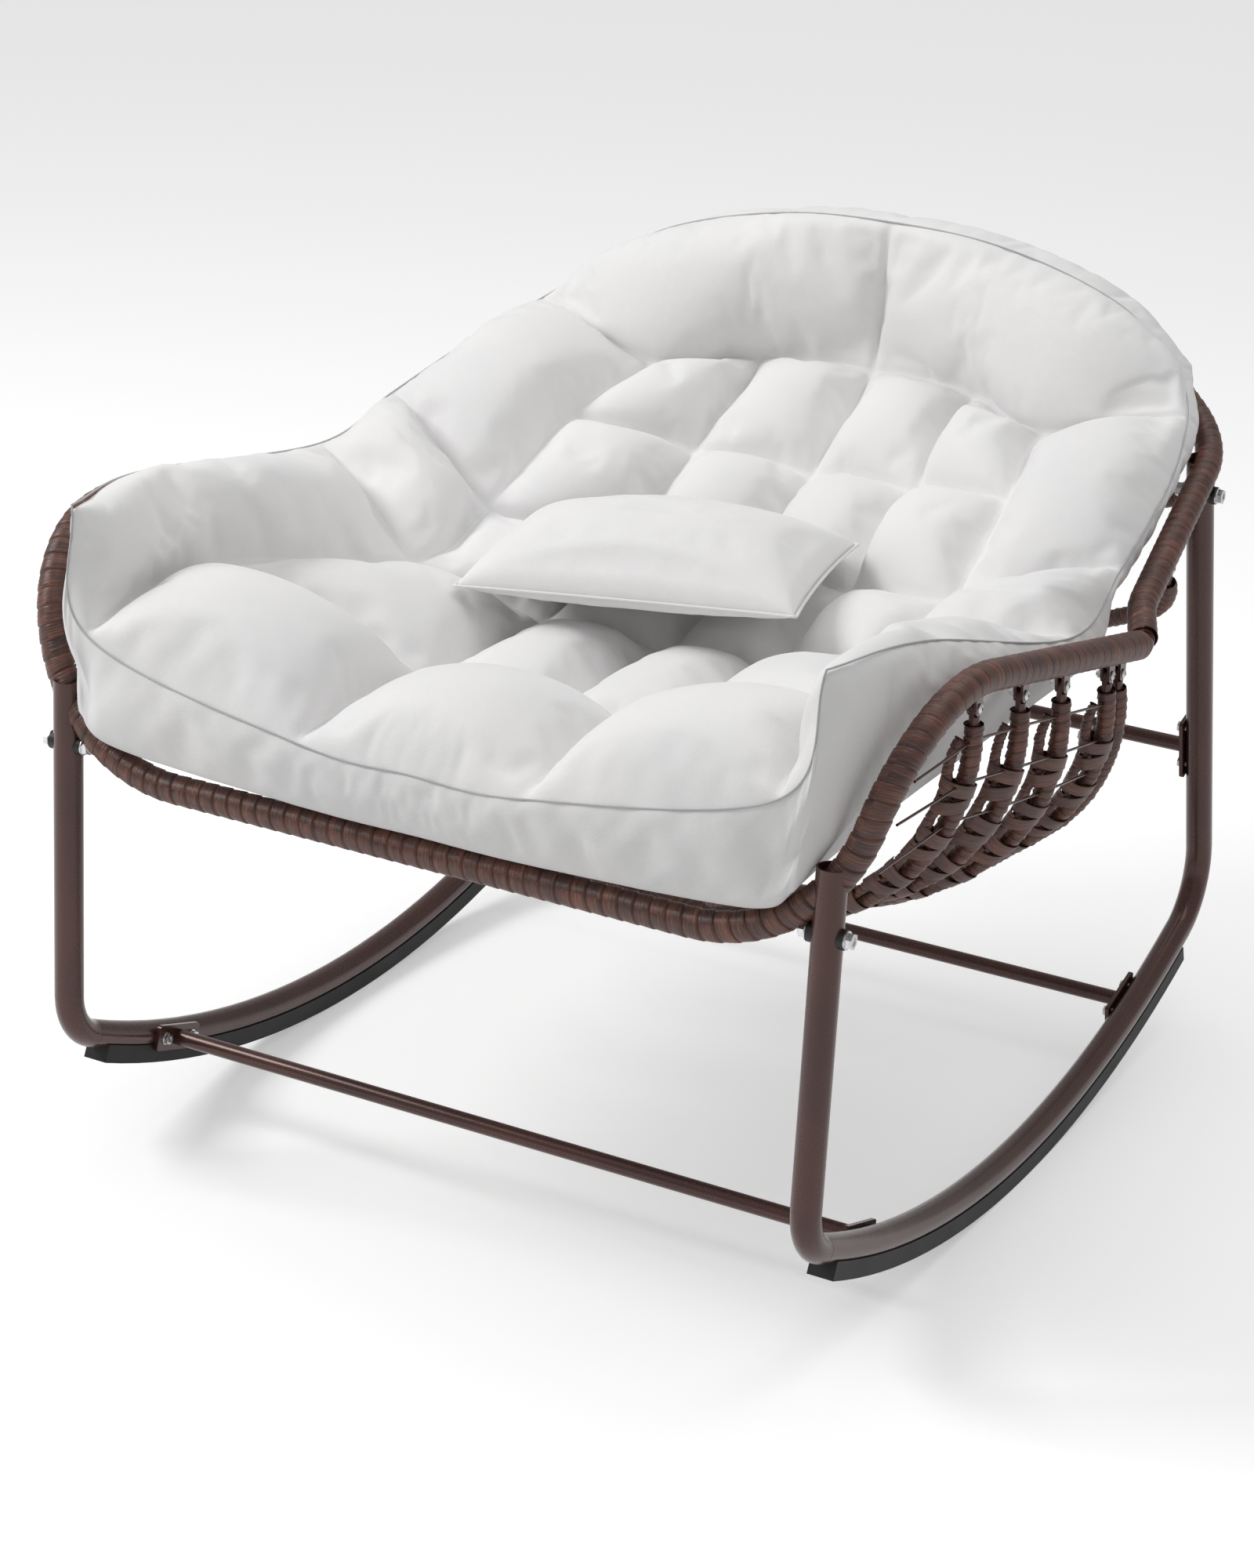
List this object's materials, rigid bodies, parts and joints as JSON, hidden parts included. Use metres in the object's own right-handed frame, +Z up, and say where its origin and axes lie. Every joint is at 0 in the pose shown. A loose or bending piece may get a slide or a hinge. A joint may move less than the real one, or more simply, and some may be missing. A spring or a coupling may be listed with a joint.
{
  "type": "papasan rocking chair",
  "caption": "Papasan rocking chair with a wicker wrapped rim and hoop on bent steel rockers, a tufted white cushion and a lumbar pillow.",
  "frame": {"origin": "on the floor under the middle of the chair's width and of its depth", "axes": "+Z up; the sitter faces -Y; +X is the sitter's left"},
  "size_m": [0.9354, 1.0708, 0.8282],
  "materials": {
    "coated_steel": "satin powder coat",
    "wicker": "grained plastic strand",
    "bright_steel": "zinc plated",
    "black_plastic": "matte",
    "tread_rubber": "matte",
    "cushion_fabric": "fine plain weave",
    "pillow_fabric": "fine plain weave"
  },
  "bodies": {
    "root": {"side_frame_left": "coated_steel", "side_frame_right": "coated_steel", "tread_left": "tread_rubber", "tread_right": "tread_rubber", "front_stretcher": "coated_steel", "rear_lower_stretcher": "coated_steel", "rear_upper_stretcher": "coated_steel", "stretcher_screws": "bright_steel", "stretcher_rivet_nuts": "bright_steel", "front_leg_bolts": "bright_steel", "rear_leg_bolts": "bright_steel", "leg_nuts": "bright_steel", "leg_washers": "black_plastic", "front_leg_spigots": "coated_steel", "rear_leg_spigots": "coated_steel", "seat_rim_tube": "coated_steel", "seat_rim_wicker": "wicker", "back_hoop_tube": "coated_steel", "back_hoop_wicker": "wicker", "joint_spigots": "coated_steel", "seat_rib_1": "coated_steel", "seat_rib_2": "coated_steel", "seat_rib_3": "coated_steel", "seat_rib_4": "coated_steel", "back_rib_1": "coated_steel", "back_rib_2": "coated_steel", "back_rib_3": "coated_steel", "seat_rib_1_wicker": "wicker", "seat_rib_2_wicker": "wicker", "seat_rib_3_wicker": "wicker", "seat_rib_4_wicker": "wicker", "back_rib_1_wicker": "wicker", "back_rib_2_wicker": "wicker", "back_rib_3_wicker": "wicker", "rib_clevises": "coated_steel", "rib_bolts": "bright_steel", "rib_nuts": "bright_steel", "rib_lugs": "coated_steel", "lug_bolts": "bright_steel", "lug_nuts": "bright_steel", "side_wires": "coated_steel", "cushion": "cushion_fabric", "pillow": "pillow_fabric"}
  },
  "joints": []
}
